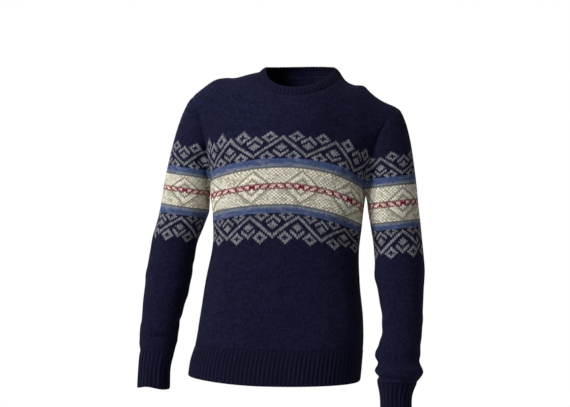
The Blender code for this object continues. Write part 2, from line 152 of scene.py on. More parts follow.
def lengths(points, axis=0):
    """Length along a path or grid from its first point to each point."""
    steps = np.linalg.norm(np.diff(points, axis=axis), axis=-1)
    return np.concatenate((np.take(steps, [0], axis=axis) * 0, np.cumsum(steps, axis=axis)), axis=axis)


def bezier(start, first, second, end, share):
    """Points on cubic curves between two ends with two handles."""
    back = 1 - share
    return (back ** 3 * start + 3 * back ** 2 * share * first
            + 3 * back * share ** 2 * second + share ** 3 * end)


# %% [markdown]
# ## The cut and the worn form of the body
#
# The flat cut is 442 mm across, 365 mm from hem rib to underarm, and slopes from the neck point to
# the shoulder tip. Worn, it becomes rings round the trunk below the underarm, and curves over the
# chest and back above it. All numbers are millimetres, the same as those of the solids.

# %% Tables of the body
UNDERARM = 365.0
HALF_WIDTH = 221.0
SHOULDER_TIP = (220.0, 580.0)
NECK_POINT = (85.0, 620.0)
NECK_DROP = {"front": 75.0, "back": 20.0}
HEM_RIB = 75.0

FORWARD = {"front": -1, "back": 1}
LEFTWARD = {"left": 1, "right": -1}
TORSO = columns("flat z centre half front back right_drop left_drop".split(), (
    (-75, -659, -57, 187, 106, 102, -10, -2),
    (-40, -624, -53, 186, 107, 103, -6, 0),
    (0, -584, -46, 182, 107, 103, -2, 2),
    (60, -524, -41, 177, 105, 101, 0, 5),
    (140, -444, -38, 167, 102, 98, 0, 10),
    (220, -364, -31, 158, 102, 98, 0, 18),
    (290, -294, -28, 161, 108, 102, 8, 34),
    (340, -244, -27, 164, 113, 106, 15, 44),
    (365, -219, -26, 166, 114, 107, 17, 43),
))
RING_SQUARENESS = 2.4
RING_SAMPLES = 720
ARMHOLE = columns(("share", "across"), (
    (0, 221), (0.03, 211), (0.1, 206), (0.3, 204), (0.5, 205), (0.7, 209), (0.88, 216), (1, 220),
))
SHOULDER_COLUMNS = ("across", "x", "y", "z")
SHOULDER = {
    "right": columns(SHOULDER_COLUMNS, (
        (85, -90, 6, 9), (105, -114, 6, 4), (130, -143, 6, -3), (155, -168, 6, -3), (178, -191, 6, -8),
        (200, -219, 5, -27), (220, -240, 4, -44),
    )),
    "left": columns(SHOULDER_COLUMNS, (
        (85, 88, 6, 2), (96, 97, 6, -11), (116, 115, 6, -22), (140, 139, 6, -26), (156, 153, 5, -40),
        (180, 174, 5, -56), (200, 192, 5, -65), (220, 211, 4, -73),
    )),
}
NECK_BASE = {"half": 89.0, "middle_y": 6.0, "front": 86.0, "back": 66.0, "front_z": -51.0, "back_z": 5.0,
             "side_z": {"right": 9.0, "left": 0.0}}
NECK_EDGE = {"half": 74.0, "middle_y": 4.0, "front": 74.0, "back": 60.0, "front_z": -32.0, "back_z": 25.0,
             "side_z": {"right": 19.0, "left": 15.0}}
BAND_ROLL = 1.5
RISE = {
    "front": {"neck": 52.0, "point": 14.0, "tip": 24.0},
    "back": {"neck": 66.0, "point": 14.0, "tip": 24.0},
}
LOWER_PULL = 0.36
UPPER_PULL = 0.36
ARM_LEAN = 0.30
ARM_LEAN_FROM = 0.5
SIDE_LEAN = 0.08
TOP_LEAN = 0.10
NECK_BLEND = 6


# %% Rings below the underarm
def by_side(values, across):
    """Pick the wearer's left or right value for each place across the cut."""
    return np.where(across >= 0, values["left"], values["right"])


def body_ring(panel, share, flat):
    """Places of one ring of the body: share runs from -1 at the right seam to 1 at the left."""
    half = along(TORSO, "half", flat)
    depth = along(TORSO, panel, flat)
    angle = np.linspace(0, math.pi / 2, RING_SAMPLES)
    x = half * np.sin(angle) ** (2 / RING_SQUARENESS)
    y = depth * np.cos(angle) ** (2 / RING_SQUARENESS)
    path = np.concatenate(([0], np.cumsum(np.hypot(np.diff(x), np.diff(y)))))
    path /= path[-1]
    across = np.interp(abs(share), path, x) * np.where(share >= 0, 1, -1)
    deep = np.interp(abs(share), path, y) * FORWARD[panel]
    drops = {side: along(TORSO, side + "_drop", flat) for side in LEFTWARD}
    z = along(TORSO, "z", flat) - by_side(drops, share) * ease(abs(share))
    return stack(along(TORSO, "centre", flat) + across, deep, z)


ring = body_ring("front", np.linspace(-1, 1, 9), 340.0)
print("chest ring", np.round(ring[[0, 4, 8]], 1).tolist())


# %% Neckline, shoulder seams and the cloth above the underarm
def neck_loop(loop, panel, angle):
    """Places on a loop round the neck; angle is 0 in the middle of the panel and 90 at the shoulder."""
    turn = np.radians(angle)
    side = by_side(loop["side_z"], angle)
    away = abs(np.cos(turn))
    y = loop["middle_y"] + loop[panel] * away * FORWARD[panel]
    z = side + (loop[panel + "_z"] - side) * away
    return stack(loop["half"] * np.sin(turn), y, z)


def neck_angle(across):
    """Angle round the neck of a place across the flat neckline."""
    return np.degrees(np.arcsin(np.clip(across / NECK_POINT[0], -1, 1)))


def shoulder_seam(across):
    """Places on the shoulder seams, outwards from the neck points."""
    sides = {side: stack(*[along(rows, name, abs(across)) for name in ("x", "y", "z")])
             for side, rows in SHOULDER.items()}
    return by_side(sides, across[:, None])


def past_neck(across):
    """Share of the way from the neck point to the shoulder tip."""
    return (abs(across) - NECK_POINT[0]) / (SHOULDER_TIP[0] - NECK_POINT[0])


def top_edge(panel, across):
    """Places on the neckline or the shoulder seam above places across the flat cut."""
    loop = neck_loop(NECK_BASE, panel, neck_angle(across))
    corner = np.where(across >= 0, 1, -1)
    end = neck_loop(NECK_BASE, "front", 90.0 * corner)
    point = shoulder_seam(NECK_POINT[0] * corner)
    blend = np.clip(abs(across / NECK_POINT[0]), 0, 1) ** NECK_BLEND
    neckline = loop + (point - end) * blend[:, None]
    return np.where((abs(across) < NECK_POINT[0])[:, None], neckline, shoulder_seam(across))


def rise_angle(panel, across):
    """Slope of the cloth at its top edge, in degrees above level."""
    rise = RISE[panel]
    neck = rise["point"] + (rise["neck"] - rise["point"]) * np.cos(np.radians(neck_angle(across)))
    shoulder = rise["point"] + (rise["tip"] - rise["point"]) * ease(past_neck(across))
    return np.where(abs(across) < NECK_POINT[0], neck, shoulder)


def upper_body(panel, across, share):
    """Places above the underarm: share runs from 0 at the underarm to 1 at the top edge."""
    across = np.atleast_1d(np.asarray(across, dtype=float))
    forward = FORWARD[panel]
    start = body_ring(panel, across / HALF_WIDTH, UNDERARM)
    end = top_edge(panel, across)
    edge = ease((abs(across) / HALF_WIDTH - ARM_LEAN_FROM) / (1 - ARM_LEAN_FROM))
    leave = unit(stack(SIDE_LEAN * across / HALF_WIDTH, forward * ARM_LEAN * edge, 1.0))
    rise = np.radians(rise_angle(panel, across))
    arrive = unit(stack(TOP_LEAN * across / HALF_WIDTH, -forward * np.cos(rise), np.sin(rise)))
    reach = np.linalg.norm(end - start, axis=-1, keepdims=True)
    first = start + leave * reach * LOWER_PULL
    second = end - arrive * reach * UPPER_PULL
    return bezier(start, first, second, end, np.asarray(share, dtype=float).reshape(-1, 1))


def top_flat(panel, across):
    """Height in the flat cut of the neckline or the shoulder seam."""
    bow = 1 - np.cos(np.radians(neck_angle(across)))
    neckline = NECK_POINT[1] - NECK_DROP[panel] * (1 - bow)
    shoulder = NECK_POINT[1] + (SHOULDER_TIP[1] - NECK_POINT[1]) * past_neck(across)
    return np.where(abs(across) < NECK_POINT[0], neckline, shoulder)


# %% [markdown]
# ## Stitches as the grid of the body
#
# The front and back are each 96 stitches wide, and the chest pattern is counted from its red rows.
# Each stitch gets two columns of the grid, so that the columns of stitches stand up as fine ridges
# with a groove between them. The rows of the grid follow the courses of the knitting. Two numbers
# go with every point: its stitch across and its course up, which later place the pattern.
#
# Worn cloth has slipped on the body. The columns lean and the courses rise and sink by a few
# stitches, as the bent pattern in the photograph shows, so two short tables move them.

# %% Grid of the front and the back
STITCHES_HALF = 48
COURSE_HEIGHT = 3.47
RED_ROWS = 340.0
BODY_ROWS_BELOW = 105
BODY_ROWS_ABOVE = 60
COLUMNS_PER_STITCH = 2
RELAX_ROUNDS = 140
RELAX_REACH = 9
ROW_CROWDING = 1.15

# How worn cloth has slipped on the body, by course and by place across the cut: the columns of
# stitches lean sideways, and the courses rise and sink
WEAR_SHARES = (-1.0, -0.8, -0.5, -0.25, 0.0, 0.25, 0.5, 0.75, 1.0)
WEAR_COLUMNS = ("course",) + WEAR_SHARES
LEAN = columns(WEAR_COLUMNS, (
    (-60, 0, 0.8, 1.2, 1.2, 1.1, 1.0, 0.7, 0.3, 0),
    (-34, 0, 2.0, 2.7, 2.8, 2.8, 2.9, 3.3, 2.1, 0),
    (-26, 0, 1.5, 2.3, 3.0, 3.2, 3.6, 4.6, 3.7, 0),
    (-18, 0, 0.6, 1.2, 2.0, 2.7, 3.4, 4.7, 4.0, 0),
    (-10, 0, 0.2, 0.6, 1.3, 1.9, 3.1, 5.1, 4.2, 0),
    (0, 0, 0.1, 0.3, 0.5, 1.3, 2.7, 4.7, 4.1, 0),
    (10, 0, 0.6, 0.7, 0.4, 0.7, 1.6, 2.8, 2.5, 0),
    (18, 0, 1.5, 1.9, 1.2, 0.4, 0.4, 0, -0.5, 0),
    (26, 0, 2.1, 2.3, 1.5, 0.6, 0, -1.0, -2.0, 0),
    (34, 0, 1.1, 1.5, 1.3, 0.8, -0.1, -1.0, -1.3, 0),
    (60, 0, 0.1, 0.3, 0.3, 0.2, -0.1, -0.2, -0.2, 0),
    (90, 0, 0, 0, 0, 0, 0, 0, 0, 0),
))
LEAN_OF = {"front": 1.0, "back": -0.4}
LEAN_ROUNDS = 14
DRIFT = columns(WEAR_COLUMNS, (
    (-60, 0.3, 0.2, 0.1, -0.1, -0.2, -0.2, -0.2, -0.1, 0),
    (-34, 2.0, 1.1, 0.1, -0.9, -1.3, -1.3, -0.8, -0.2, 0.6),
    (-26, 3.3, 1.7, -0.2, -1.7, -2.1, -2.0, -1.3, -0.1, 1.1),
    (-18, 3.9, 2.4, 0, -1.7, -2.1, -2.1, -1.2, 0.3, 1.4),
    (-10, 3.9, 2.0, -0.1, -0.9, -1.2, -1.6, -1.6, -0.2, 1.1),
    (0, 4.1, 1.7, 0, -0.7, -1.0, -1.7, -2.5, -1.2, 0.6),
    (10, 4.7, 2.7, 0.7, -0.4, -0.8, -1.5, -2.1, -1.1, 0.7),
    (18, 5.4, 3.5, 1.4, -0.1, -0.3, -1.2, -1.7, -0.1, 1.7),
    (26, 5.1, 4.5, 2.9, 0.9, 0.5, 0, 0.3, 1.5, 2.5),
    (34, 3.5, 2.9, 2.0, 1.0, 0.8, 0.7, 1.2, 1.7, 2.0),
    (60, 0.7, 0.6, 0.5, 0.5, 0.5, 0.7, 0.8, 0.8, 0.7),
    (90, 0, 0, 0, 0, 0, 0, 0, 0, 0),
))


def read_wear(wear, share, course):
    """Read a wear table at each point, smooth between its columns and rows."""
    values = np.stack([along(wear, name, course) for name in WEAR_SHARES], axis=-1)
    slopes = np.gradient(values, WEAR_SHARES, axis=-1)
    i, width, t = between_rows(np.array(WEAR_SHARES), share)
    ends = [np.take_along_axis(found, (i + step)[..., None], axis=-1)[..., 0]
            for step in (0, 1) for found in (values, slopes)]
    return curve(width, t, *ends)


def leaning_places(panel, shares, flat):
    """Places across the cut of the columns of stitches at a height of the cut."""
    course = np.broadcast_to((flat - RED_ROWS) / COURSE_HEIGHT, shares.shape)
    places = shares
    for _ in range(LEAN_ROUNDS):
        places = shares - LEAN_OF[panel] * read_wear(LEAN, places, course) / STITCHES_HALF
    return np.clip(places, -1, 1)


def relax_shoulder(upper):
    """Even out the lines that run down from the neck points, but keep the seams where they are."""
    step = np.arange(len(upper))
    hold = ease((len(upper) - 1 - step) / RELAX_REACH)[:, None, None] * 0.5
    relaxed = upper.copy()
    for _ in range(RELAX_ROUNDS):
        middle = (relaxed[:, :-2] + relaxed[:, 2:]) / 2
        relaxed[:, 1:-1] += (middle - relaxed[:, 1:-1]) * hold
    return upper + (relaxed - upper) * ease(step / RELAX_REACH)[:, None, None]


def panel_grid(panel):
    """Outer points, flat places and stitch numbers of a panel, row by row from the hem rib up."""
    shares = np.linspace(-1, 1, 2 * STITCHES_HALF * COLUMNS_PER_STITCH + 1)
    rows, flats, share = [], [], []
    for flat in np.linspace(0, UNDERARM, BODY_ROWS_BELOW + 1)[:-1]:
        places = leaning_places(panel, shares, flat)
        rows.append(body_ring(panel, places, flat))
        flats.append(np.full(len(shares), flat))
        share.append(places)
    for step in np.linspace(0, 1, BODY_ROWS_ABOVE + 1) ** ROW_CROWDING:
        flat = UNDERARM + step * (top_flat(panel, shares * HALF_WIDTH) - UNDERARM)
        places = leaning_places(panel, shares, flat)
        reach = along(ARMHOLE, "across", step)
        rows.append(upper_body(panel, places * reach, np.full(len(shares), step)))
        flats.append(UNDERARM + step * (top_flat(panel, places * HALF_WIDTH) - UNDERARM))
        share.append(places)
    placed = np.concatenate((np.array(rows), np.stack((flats, share), axis=-1)), axis=-1)
    placed[BODY_ROWS_BELOW:] = relax_shoulder(placed[BODY_ROWS_BELOW:])
    grid = placed[..., :3]
    flats = placed[..., 3]
    share = placed[..., 4]
    course = (flats - RED_ROWS) / COURSE_HEIGHT
    return grid, flats, share, stack(shares * STITCHES_HALF, course + read_wear(DRIFT, share, course))


front = panel_grid("front")
print("front grid", front[0].shape, "courses up to", np.round(front[3][..., 1].max()))

# %% [markdown]
# ## The sleeves
#
# A sleeve is a tube of 80 stitches. It leaves the armhole sideways, turns down, and narrows to the
# cuff. Between armhole and upper arm each column of stitches is one smooth curve, and further down
# the tube is rings round a slightly leaning arm. The left one blouses over its cuff. A worn sleeve
# twists: its columns turn round the arm on the way down, which a short table gives by course.

# %% Tables of the sleeves and cuffs
ARM_COLUMNS = ("z", "x", "y", "half", "depth", "tilt")
SLEEVE = {
    "right": columns(ARM_COLUMNS, (
        (-290, -256, 4, 53.5, 54, 8), (-325, -267, 4, 51, 52, 8), (-356, -278, 4, 49.5, 50, 8),
        (-390, -284, 3, 49.5, 49, 7), (-425, -289, 1, 50, 48, 6), (-460, -295, -2, 48, 46, 6),
        (-495, -301, -6, 45.5, 44, 6), (-530, -305, -11, 43, 42, 5), (-560, -309, -17, 42, 41, 4),
        (-580, -310, -20, 41.5, 41, 4), (-598, -311, -23, 37.5, 37, 4),
    )),
    "left": columns(ARM_COLUMNS, (
        (-290, 201, 4, 54, 54, 6), (-325, 206, 4, 53, 52, 6), (-356, 210, 4, 52, 50, 5),
        (-390, 213, 3, 52.5, 49, 4), (-425, 215, 1, 53, 48, 3), (-460, 217, -1, 49, 46, 2),
        (-495, 219, -4, 45.5, 44, 1), (-530, 220, -8, 43, 42, 0), (-560, 220, -13, 42, 42, 0),
        (-580, 216, -16, 43.5, 43, 0), (-602, 213, -19, 47.5, 46, 0), (-619, 214, -22, 46, 45, 0),
        (-636, 217, -25, 49, 47, 0), (-652, 211, -27, 42.5, 42, 0),
    )),
}
CUFF = {
    "right": columns(ARM_COLUMNS, (
        (-598, -311, -23, 37.5, 37, 4), (-625, -315, -28, 35, 35, 3), (-678, -316, -37, 35, 34.5, 2),
    )),
    "left": columns(ARM_COLUMNS, (
        (-652, 211, -27, 42.5, 42, 0), (-676, 209, -30, 35, 35, 0), (-731, 210, -38, 33, 33.5, 0),
    )),
}
CAP_LEAVE = 0.2
CAP_ARRIVE = 0.34
CAP_OUTWARD = {"tip": (0.66, -0.74), "under": (0.78, -0.64)}
CAP_ROUND = 0.1

ARMHOLE_SAMPLES = 600
SLEEVE_STITCHES = 80
SLEEVE_COURSE = 3.2
CAP_STEPS = 58
TURN_ROUNDS = 5
ARM_STEP = 3.3
# Course of the upper-arm ring and stitch of the outer line, so that the pattern falls as it was worn
SLEEVE_START = {"right": {"stitch": -1.4, "course": -12.5}, "left": {"stitch": 4.3, "course": -2.8}}
# How far the columns have turned round the arm, in stitches, and the courses have slipped up
SLEEVE_WEAR_COLUMNS = ("course", "turn", "slip")
SLEEVE_WEAR = {
    "right": columns(SLEEVE_WEAR_COLUMNS, (
        (60, 0, 0), (40, 0, 0.8), (31, 0.2, 1.3), (25, 1.7, 1.4), (19, 3.6, 0.9), (10, 6.0, 0.4),
        (0, 7.9, -0.9), (-10, 8.7, -0.9), (-19, 9.2, -1.0), (-26, 9.8, -1.3), (-32, 10.4, -0.5),
        (-60, 10.8, 0),
    )),
    "left": columns(SLEEVE_WEAR_COLUMNS, (
        (60, 0, 0), (40, 0, -0.3), (31, 0.2, -0.6), (25, 1.7, -0.9), (19, 3.6, -1.8), (10, 5.0, -1.3),
        (0, 6.2, -0.8), (-10, 7.6, -0.3), (-18, 8.2, -1.5), (-26, 8.8, -0.9), (-32, 9.5, -0.2),
        (-60, 10.0, 0),
    )),
}


# %% Rings of an arm
def arm_frame(table, z):
    """Centre, outward direction and axis of a sleeve ring at a height."""
    centre = np.array((along(table, "x", z), along(table, "y", z), z))
    side = 1 if centre[0] > 0 else -1
    tilt = math.radians(along(table, "tilt", z))
    outward = np.array((side * math.cos(tilt), 0, math.sin(tilt)))
    axis = np.array((-side * math.sin(tilt), 0, math.cos(tilt)))
    return centre, outward, axis


def arm_ring(table, z, angles):
    """Ring of a sleeve; angle 0 is the outer side, a quarter turn the front, half a turn the body side."""
    centre, outward, _ = arm_frame(table, z)
    half = along(table, "half", z)
    depth = along(table, "depth", z)
    front_way = np.array((0, -1, 0))
    return (centre + half * np.cos(angles)[:, None] * outward
            + depth * np.sin(angles)[:, None] * front_way)


def even_path(points, count):
    """Points at even steps along a path."""
    path = lengths(points)
    at = np.linspace(0, path[-1], count + 1)
    return np.stack([np.interp(at, path, points[:, axis]) for axis in range(3)], axis=-1)


def armhole_loop(side, count):
    """Seam round the armhole, from the shoulder tip down the front to the underarm and up the back."""
    share = np.linspace(1, 0, ARMHOLE_SAMPLES)
    reach = LEFTWARD[side] * along(ARMHOLE, "across", share)
    down = even_path(upper_body("front", reach, share), count // 2)
    up = even_path(upper_body("back", reach, share)[::-1], count // 2)
    return np.vstack((down[:-1], up[:-1]))


# %% Grid of a sleeve
def slide_round(rows, offset):
    """Read closed rings at places moved round by an offset in columns."""
    count = rows.shape[1]
    at = np.arange(count) + offset
    low = np.floor(at).astype(int)
    part = (at - low)[..., None]
    line = np.arange(rows.shape[0])[:, None]
    return rows[line, low % count] * (1 - part) + rows[line, (low + 1) % count] * part


def sleeve_grid(side):
    """Outer points and stitch numbers of a sleeve, from the armhole down to the cuff seam."""
    table = SLEEVE[side]
    count = SLEEVE_STITCHES * COLUMNS_PER_STITCH
    angles = np.linspace(0, 2 * math.pi, count, endpoint=False)
    loop = armhole_loop(side, count)
    top, bottom = table["z"][[0, -1]]
    ring_points = arm_ring(table, top, angles)
    _, _, axis = arm_frame(table, top)
    under = (0.5 - 0.5 * np.cos(angles))[:, None]
    out = np.array(CAP_OUTWARD["tip"]) * (1 - under) + np.array(CAP_OUTWARD["under"]) * under
    leave = unit(stack(LEFTWARD[side] * out[:, 0], -CAP_ROUND * np.sin(angles), out[:, 1]))
    reach = np.linalg.norm(ring_points - loop, axis=1, keepdims=True)
    first = loop + leave * reach * CAP_LEAVE
    second = ring_points + axis * reach * CAP_ARRIVE
    rows = [bezier(loop, first, second, ring_points, share) for share in np.linspace(0, 1, CAP_STEPS + 1)]
    steps = int(round((top - bottom) / ARM_STEP))
    for z in np.linspace(top, bottom, steps + 1)[1:]:
        rows.append(arm_ring(table, z, angles))
    grid = np.array(rows)
    length = lengths(grid)
    start = SLEEVE_START[side]
    course = start["course"] - (length - length[CAP_STEPS]) / SLEEVE_COURSE
    course = course + along(SLEEVE_WEAR[side], "slip", course)
    stitch = start["stitch"] + angles / (2 * math.pi) * SLEEVE_STITCHES
    placed = np.concatenate((grid, course[..., None]), axis=-1)
    turned = placed
    for _ in range(TURN_ROUNDS):
        turn = along(SLEEVE_WEAR[side], "turn", turned[..., 3])
        turned = slide_round(placed, turn * COLUMNS_PER_STITCH)
    return turned[..., :3], stack(stitch, turned[..., 3])


sleeve = sleeve_grid("right")
print("sleeve grid", sleeve[0].shape)

# %% [markdown]
# ## Ribs
#
# Neckband, hem and cuffs are knitted in rib: raised columns with narrow furrows between, which
# pull the edge together. Each rib gets six or eight columns of the grid, with a round crest and a
# tighter furrow. The band stands on the neckline and leans in to the neck.

# %% Grids of the ribbed pieces
RIB_HEIGHT = 1.3
RIBS_HEM_HALF = 52
RIBS_CUFF = 24
RIBS_NECK = 60
RIB_STEPS = 6
CUFF_STEPS = 8
RIB_COURSE = 3.4
CUFF_ROWS = 25
BAND_ROWS = 11
INSIDE_CORNER = 1 - 1e-9
# The edge of a cuff rides up at the front, over the back of the hand
EDGE_LIFT = 7.0
EDGE_LIFT_AT = math.radians(82)
EDGE_LIFT_REACH = math.radians(42)


def hem_grid(panel):
    """Outer points and rib numbers of one half of the hem rib."""
    shares = np.linspace(-1, 1, RIB_STEPS * RIBS_HEM_HALF + 1)
    flats = np.linspace(-HEM_RIB, 0, int(HEM_RIB / RIB_COURSE) + 1)
    grid = np.array([body_ring(panel, shares, flat) for flat in flats])
    return grid, stack((shares + 1) / 2 * RIBS_HEM_HALF, flats[:, None] / RIB_COURSE)


def cuff_grid(side):
    """Outer points and rib numbers of a cuff, from its seam down to its edge."""
    table = CUFF[side]
    angles = np.linspace(0, 2 * math.pi, CUFF_STEPS * RIBS_CUFF, endpoint=False)
    heights = np.linspace(*table["z"][[0, -1]], CUFF_ROWS)
    grid = np.array([arm_ring(table, z, angles) for z in heights])
    lift = EDGE_LIFT * np.exp(-((angles - EDGE_LIFT_AT) / EDGE_LIFT_REACH) ** 2)
    grid[..., 2] += np.linspace(0, 1, len(heights))[:, None] ** 2 * lift
    return grid, stack(angles / (2 * math.pi) * RIBS_CUFF, (heights / RIB_COURSE)[:, None])


def band_grid():
    """Outer points and rib numbers of the neckband, from its seam up to its edge."""
    turn = np.linspace(-90, 270, RIB_STEPS * RIBS_NECK, endpoint=False)
    local = np.where(turn <= 90, turn, 180 - turn)
    at_front = (turn <= 90)[:, None]
    across = NECK_POINT[0] * np.sin(np.radians(local)) * INSIDE_CORNER
    base = np.where(at_front, top_edge("front", across), top_edge("back", across))
    edge = np.where(at_front, neck_loop(NECK_EDGE, "front", local), neck_loop(NECK_EDGE, "back", local))
    middle = edge.mean(axis=0)
    rows = []
    for share in np.linspace(0, 1, BAND_ROWS):
        row = base + (edge - base) * share
        away = (row - middle) * (1, 1, 0)
        rows.append(row + unit(away) * BAND_ROLL * math.sin(math.pi * share))
    grid = np.array(rows)
    return grid, stack((turn + 90) / 360 * RIBS_NECK, np.arange(BAND_ROWS)[:, None])


print("hem", hem_grid("front")[0].shape, "cuff", cuff_grid("left")[0].shape, "band", band_grid()[0].shape)

# %% [markdown]
# ## Creases
# ## Creases
#
# Soft wool makes few and shallow creases: drag lines from the underarm, slack above the hem, and
# rings where a sleeve blouses over its cuff. Only the folds where a sleeve meets the body are deep.
# Each one is a soft trough or ridge placed one by one in the flat cut, with its own length, width,
# height and turn, so that no two are alike.

# %% Creases of the body
FOLD_COLUMNS = ("across", "flat", "length", "width", "height", "turn")
FOLD_SIDE_FADE = 40.0
FOLD_HEM_FADE = 60.0
BODY_CREASES = {
    "front": (
        (150, 345, 75, 22, 5, 38), (172, 262, 60, 24, -4, 30), (-158, 320, 70, 24, 4, -42),
        (-120, 60, 90, 30, 4, 80), (60, 40, 100, 34, -3, 95), (160, 70, 80, 26, 4, 100),
        (118, 372, 54, 9, -1.8, 42), (134, 398, 60, 11, 1.7, 52), (-126, 392, 58, 10, -1.8, -50),
        (-146, 360, 46, 9, 1.6, -34), (-60, 20, 44, 13, 1.6, 88), (-10, 34, 52, 12, -1.4, 97),
        (104, 24, 40, 12, 1.8, 84), (-172, 150, 62, 13, -1.8, 74), (178, 168, 70, 12, 1.7, 104),
        (24, 470, 64, 16, 1.2, 12), (-58, 522, 40, 12, -1.4, 58), (62, 520, 44, 12, 1.4, 118),
    ),
    "back": (
        (140, 330, 80, 26, 5, 35), (-140, 330, 80, 26, 5, -35), (60, 180, 110, 34, -4, 12),
        (-50, 120, 120, 36, 5, -8), (0, 60, 130, 34, -4, 5), (112, 372, 62, 11, -2.0, 44),
        (-118, 384, 58, 10, -1.9, -46), (-20, 236, 86, 14, 2.2, 6), (34, 208, 74, 12, -2.0, -7),
        (-44, 172, 92, 13, 2.0, 4), (20, 132, 70, 12, -1.8, 10), (-6, 560, 60, 13, -1.4, 3),
        (-150, 80, 70, 13, 1.8, 82), (146, 96, 64, 12, 1.7, 98),
    ),
}


def crease_height(rows, across, up):
    """Height of soft creases over the cloth, in millimetres."""
    total = np.zeros(np.broadcast(across, up).shape)
    for row in rows:
        crease = dict(zip(FOLD_COLUMNS, row))
        turn = math.radians(crease["turn"])
        dx = across - crease["across"]
        dy = up - crease["flat"]
        u = (dx * math.cos(turn) + dy * math.sin(turn)) / crease["length"]
        v = (-dx * math.sin(turn) + dy * math.cos(turn)) / crease["width"]
        total += crease["height"] * np.exp(-u * u - v * v)
    return total


def body_creases(panel, share, flat):
    """Creases of a panel, fading out at its seams."""
    across = share * HALF_WIDTH
    total = crease_height(BODY_CREASES[panel], across, flat)
    return total * ease((HALF_WIDTH - abs(across)) / FOLD_SIDE_FADE) * ease(flat / FOLD_HEM_FADE)


# %% Creases of the sleeves
# Across is millimetres round the arm from its outer line, forwards; up is millimetres above the cuff.
ARM_ROUND = 320.0
ARM_FADE = 26.0
CUFF_FADE = 7.0
ARM_CREASES = {
    "right": (
        (27, 31, 46, 8, -5.4, 7), (22, 47, 50, 9, 4.6, -5), (90, 22, 42, 11, -3.0, -16),
        (110, 62, 50, 10, -3.0, 14), (140, 120, 50, 13, 2.2, -30), (105, 178, 56, 12, -2.2, 26),
        (70, 214, 50, 13, 2.0, -18), (250, 60, 60, 11, -2.6, -10), (262, 150, 58, 13, 2.2, 22),
        (40, 330, 60, 14, -1.8, 34), (205, 205, 52, 12, -2.0, 12), (100, 464, 36, 8, -6.5, 62),
        (87, 472, 34, 9, 4.5, 62), (121, 432, 66, 12, -8.0, 90),
    ),
    "left": (
        (74, 9, 90, 6, -5.6, -2), (74, 24, 100, 8, 5.2, -3), (82, 41, 80, 8, -3.6, -5),
        (104, 512, 44, 14, -7.0, 82), (120, 60, 50, 12, 3.0, 12), (120, 84, 48, 11, 2.4, 18),
        (90, 150, 58, 13, -2.4, -24), (130, 226, 52, 12, 2.2, 28), (60, 240, 56, 13, -1.9, 14),
        (255, 40, 64, 9, -2.8, 8), (240, 140, 60, 12, 2.2, -20), (40, 360, 60, 14, 1.8, -32),
        (190, 110, 50, 11, -2.0, 16),
    ),
}


# On a cuff, up is millimetres above its edge
CUFF_LENGTH = 80.0
CUFF_CREASES = {
    "right": (
        (112, 34, 70, 9, 2.4, 92), (136, 38, 70, 11, -3.2, 90), (62, 52, 40, 12, -1.6, 70),
        (250, 40, 50, 12, -1.8, 84),
    ),
    "left": (
        (70, 44, 50, 9, -2.0, 76), (100, 40, 50, 10, 1.6, 82), (240, 36, 50, 12, -1.8, 98),
    ),
}


def round_creases(rows, count, up):
    """Creases on a grid of rows down a tube and a number of columns round it."""
    across = np.arange(count) / count * ARM_ROUND
    return sum(crease_height(rows, across + turn * ARM_ROUND, up) for turn in (-1, 0, 1))


def arm_creases(side, rows, count):
    """Creases of a sleeve, fading out at the armhole and the cuff."""
    down = (np.arange(rows) * ARM_STEP)[:, None]
    up = (rows - 1 - np.arange(rows))[:, None] * ARM_STEP
    return round_creases(ARM_CREASES[side], count, up) * ease(up / CUFF_FADE) * ease(down / ARM_FADE)


def cuff_creases(side, rows, count):
    """Creases of a cuff, fading out at its seam."""
    up = np.linspace(CUFF_LENGTH, 0, rows)[:, None]
    return round_creases(CUFF_CREASES[side], count, up) * ease((CUFF_LENGTH - up) / CUFF_FADE / 2)


CREASE_TABLES = (BODY_CREASES, ARM_CREASES, CUFF_CREASES)
print("creases", sum(len(rows) for table in CREASE_TABLES for rows in table.values()))

# %% [markdown]
# ## Where pieces meet
#
# Two walls that meet at a seam must end on one common face, or they would cut into each other on
# the inside. So each point of an edge takes the average direction of both pieces there. At the
# seam itself the cloth is drawn in: the outer face sinks a little, as linked knitting does.

# %% Normals shared at seams
WALL = 3.0
SEAM_GAP = 0.12
SEAM_REACH = 3.5


def grid_normals(grid, tube):
    """Unit normals of a grid whose columns run to its right and rows up, seen from outside."""
    if tube:
        across = np.roll(grid, -1, axis=1) - np.roll(grid, 1, axis=1)
    else:
        across = np.gradient(grid, axis=1)
    up = np.gradient(grid, axis=0)
    return unit(np.cross(across, up))


def edge_places(grid, tube):
    """Rows and columns of the points on the edges of a grid."""
    rows, count, _ = grid.shape
    edge = np.zeros((rows, count), dtype=bool)
    edge[[0, -1]] = True
    if not tube:
        edge[:, [0, -1]] = True
    return np.argwhere(edge)


def share_normals(grids, tubes):
    """Average the normals along seams: flat pieces count as one side and tubes as the other."""
    normals = {name: grid_normals(grid, name in tubes) for name, grid in grids.items()}
    own = {name: values.copy() for name, values in normals.items()}
    edges = {name: edge_places(grid, name in tubes) for name, grid in grids.items()}
    for name, places in edges.items():
        points = grids[name][places[:, 0], places[:, 1]]
        sides = {True: np.zeros_like(points), False: np.zeros_like(points)}
        for other, theirs in edges.items():
            there = grids[other][theirs[:, 0], theirs[:, 1]]
            away = np.linalg.norm(points[:, None] - there[None], axis=2)
            nearest = away.argmin(axis=1)
            close = away[np.arange(len(points)), nearest] < SEAM_REACH
            found = own[other][theirs[nearest, 0], theirs[nearest, 1]]
            sides[other in tubes] += found * close[:, None]
        total = np.zeros_like(points)
        for values in sides.values():
            length = np.linalg.norm(values, axis=1, keepdims=True)
            total += values / np.maximum(length, 1e-9)
        normals[name][places[:, 0], places[:, 1]] = unit(total)
    return normals


